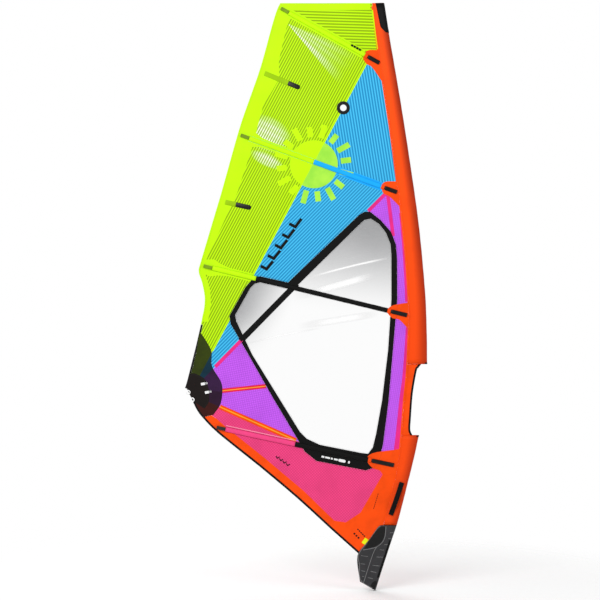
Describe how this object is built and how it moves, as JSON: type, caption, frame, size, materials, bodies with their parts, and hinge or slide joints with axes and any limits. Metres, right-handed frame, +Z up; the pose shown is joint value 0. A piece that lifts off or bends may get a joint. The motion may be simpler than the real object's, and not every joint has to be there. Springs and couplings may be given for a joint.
{
  "type": "windsurf sail",
  "caption": "Wave windsurf sail with clear window, four tensioned battens, split mast sleeve with boom cutout, tack pulley and opening tack fairing.",
  "frame": {"origin": "on the mast axis where the mast enters the tack, in the sail's middle plane", "axes": "+Z up the mast, +X from the leech to the mast side, -Y out of the face that carries the battens"},
  "size_m": [1.6945, 0.0699, 4.1091],
  "materials": {
    "lime_film": "satin reinforced film",
    "blue_film": "satin reinforced film",
    "purple_film": "fine grid laminate",
    "pink_film": "dotted laminate",
    "orange_cloth": "woven polyester",
    "clear_film": "clear monofilm",
    "black_tape": "woven tape",
    "dark_patch": "laminate",
    "grey_moulding": "matt moulded",
    "olive_plastic": "moulded",
    "batten_rod": "smooth fibre rod",
    "cap_plastic": "moulded",
    "steel": "brushed",
    "nylon": "smooth",
    "webbing": "woven webbing"
  },
  "bodies": {
    "sail": {"head_panel": "lime_film", "leech_panel_upper": "lime_film", "leech_panel_lower": "lime_film", "upper_blue_panel": "blue_film", "centre_blue_panel": "blue_film", "clew_blue_panel": "blue_film", "luff_purple_panel": "purple_film", "clew_purple_panel": "purple_film", "foot_panel": "pink_film", "tack_panel": "orange_cloth", "window": "clear_film", "window_frame": "black_tape", "diagonal_tape": "black_tape", "clew_patch": "dark_patch", "leech_binding": "black_tape", "foot_binding": "black_tape", "cutout_binding": "black_tape", "sleeve_head": "orange_cloth", "sleeve_upper": "orange_cloth", "sleeve_middle": "orange_cloth", "sleeve_waist": "orange_cloth", "sleeve_lower": "orange_cloth", "head_patch": "black_tape", "mast_tip_cup": "cap_plastic", "clew_eyelet_upper": "steel", "clew_eyelet_lower": "steel", "sleeve_handle": "webbing", "trim_ring": "dark_patch", "fairing_shell": "grey_moulding", "tack_webbing": "webbing", "batten_pocket_1": "lime_film", "batten_cap_1": "cap_plastic", "tensioner_housing_1": "olive_plastic", "batten_pocket_2": "lime_film", "batten_cap_2": "cap_plastic", "tensioner_housing_2": "olive_plastic", "batten_pocket_3": "black_tape", "batten_cap_3": "cap_plastic", "tensioner_housing_3": "olive_plastic", "batten_pocket_4": "black_tape", "batten_cap_4": "cap_plastic", "tensioner_housing_4": "olive_plastic", "mini_batten_1": "batten_rod", "mini_pocket_1": "lime_film", "mini_batten_2": "batten_rod", "mini_pocket_2": "lime_film"},
    "fairing_cover": {"fairing_flap": "grey_moulding"},
    "pulley_block": {"pulley_frame": "steel", "pulley_pin": "steel"},
    "roller_1": {"sheave_1": "nylon"},
    "roller_2": {"sheave_2": "nylon"},
    "roller_3": {"sheave_3": "nylon"},
    "screw_1": {"tension_screw_1": "steel"},
    "rod_1": {"batten_1": "batten_rod"},
    "screw_2": {"tension_screw_2": "steel"},
    "rod_2": {"batten_2": "batten_rod"},
    "screw_3": {"tension_screw_3": "steel"},
    "rod_3": {"batten_3": "batten_rod"},
    "screw_4": {"tension_screw_4": "steel"},
    "rod_4": {"batten_4": "batten_rod"}
  },
  "joints": [
    {"name": "screw_turn_1", "type": "hinge", "parent": "sail", "child": "screw_1", "pos_m": [-0.7, -0.0078, 3.833], "axis": [0.8743, 0, -0.4854], "range_deg": [0, 3600]},
    {"name": "batten_slide_1", "type": "slide", "parent": "sail", "child": "rod_1", "axis": [0.8743, 0, -0.4854], "range_m": [0, 0.01]},
    {"name": "screw_turn_2", "type": "hinge", "parent": "sail", "child": "screw_2", "pos_m": [-0.982, -0.0078, 2.946], "axis": [0.9393, 0, -0.3432], "range_deg": [0, 3600]},
    {"name": "batten_slide_2", "type": "slide", "parent": "sail", "child": "rod_2", "axis": [0.9393, 0, -0.3432], "range_m": [0, 0.01]},
    {"name": "screw_turn_3", "type": "hinge", "parent": "sail", "child": "screw_3", "pos_m": [-1.242, -0.0078, 2.0306], "axis": [0.9719, 0, -0.2356], "range_deg": [0, 3600]},
    {"name": "batten_slide_3", "type": "slide", "parent": "sail", "child": "rod_3", "axis": [0.9719, 0, -0.2356], "range_m": [0, 0.01]},
    {"name": "screw_turn_4", "type": "hinge", "parent": "sail", "child": "screw_4", "pos_m": [-1.15, -0.0078, 0.9005], "axis": [0.9779, 0, -0.2093], "range_deg": [0, 3600]},
    {"name": "batten_slide_4", "type": "slide", "parent": "sail", "child": "rod_4", "axis": [0.9779, 0, -0.2093], "range_m": [0, 0.01]},
    {"name": "pulley_swing", "type": "hinge", "parent": "sail", "child": "pulley_block", "pos_m": [-0.048, 0, 0], "axis": [0.9501, 0, -0.312], "range_deg": [-3.5, 3.5]},
    {"name": "sheave_spin_1", "type": "hinge", "parent": "pulley_block", "child": "roller_1", "pos_m": [-0.05705, 0, -0.02755], "axis": [0.9501, 0, -0.312], "continuous": true},
    {"name": "sheave_spin_2", "type": "hinge", "parent": "pulley_block", "child": "roller_2", "pos_m": [-0.05705, 0, -0.02755], "axis": [0.9501, 0, -0.312], "continuous": true},
    {"name": "sheave_spin_3", "type": "hinge", "parent": "pulley_block", "child": "roller_3", "pos_m": [-0.05705, 0, -0.02755], "axis": [0.9501, 0, -0.312], "continuous": true},
    {"name": "fairing_open", "type": "hinge", "parent": "sail", "child": "fairing_cover", "pos_m": [-0.038, 0, -0.239], "axis": [0.3115, 0, 0.9502], "range_deg": [0, 120]}
  ],
  "couplings": [
    {"joint": "batten_slide_1", "follows": "screw_turn_1", "m_per_rad": 0.000159},
    {"joint": "batten_slide_2", "follows": "screw_turn_2", "m_per_rad": 0.000159},
    {"joint": "batten_slide_3", "follows": "screw_turn_3", "m_per_rad": 0.000159},
    {"joint": "batten_slide_4", "follows": "screw_turn_4", "m_per_rad": 0.000159}
  ]
}
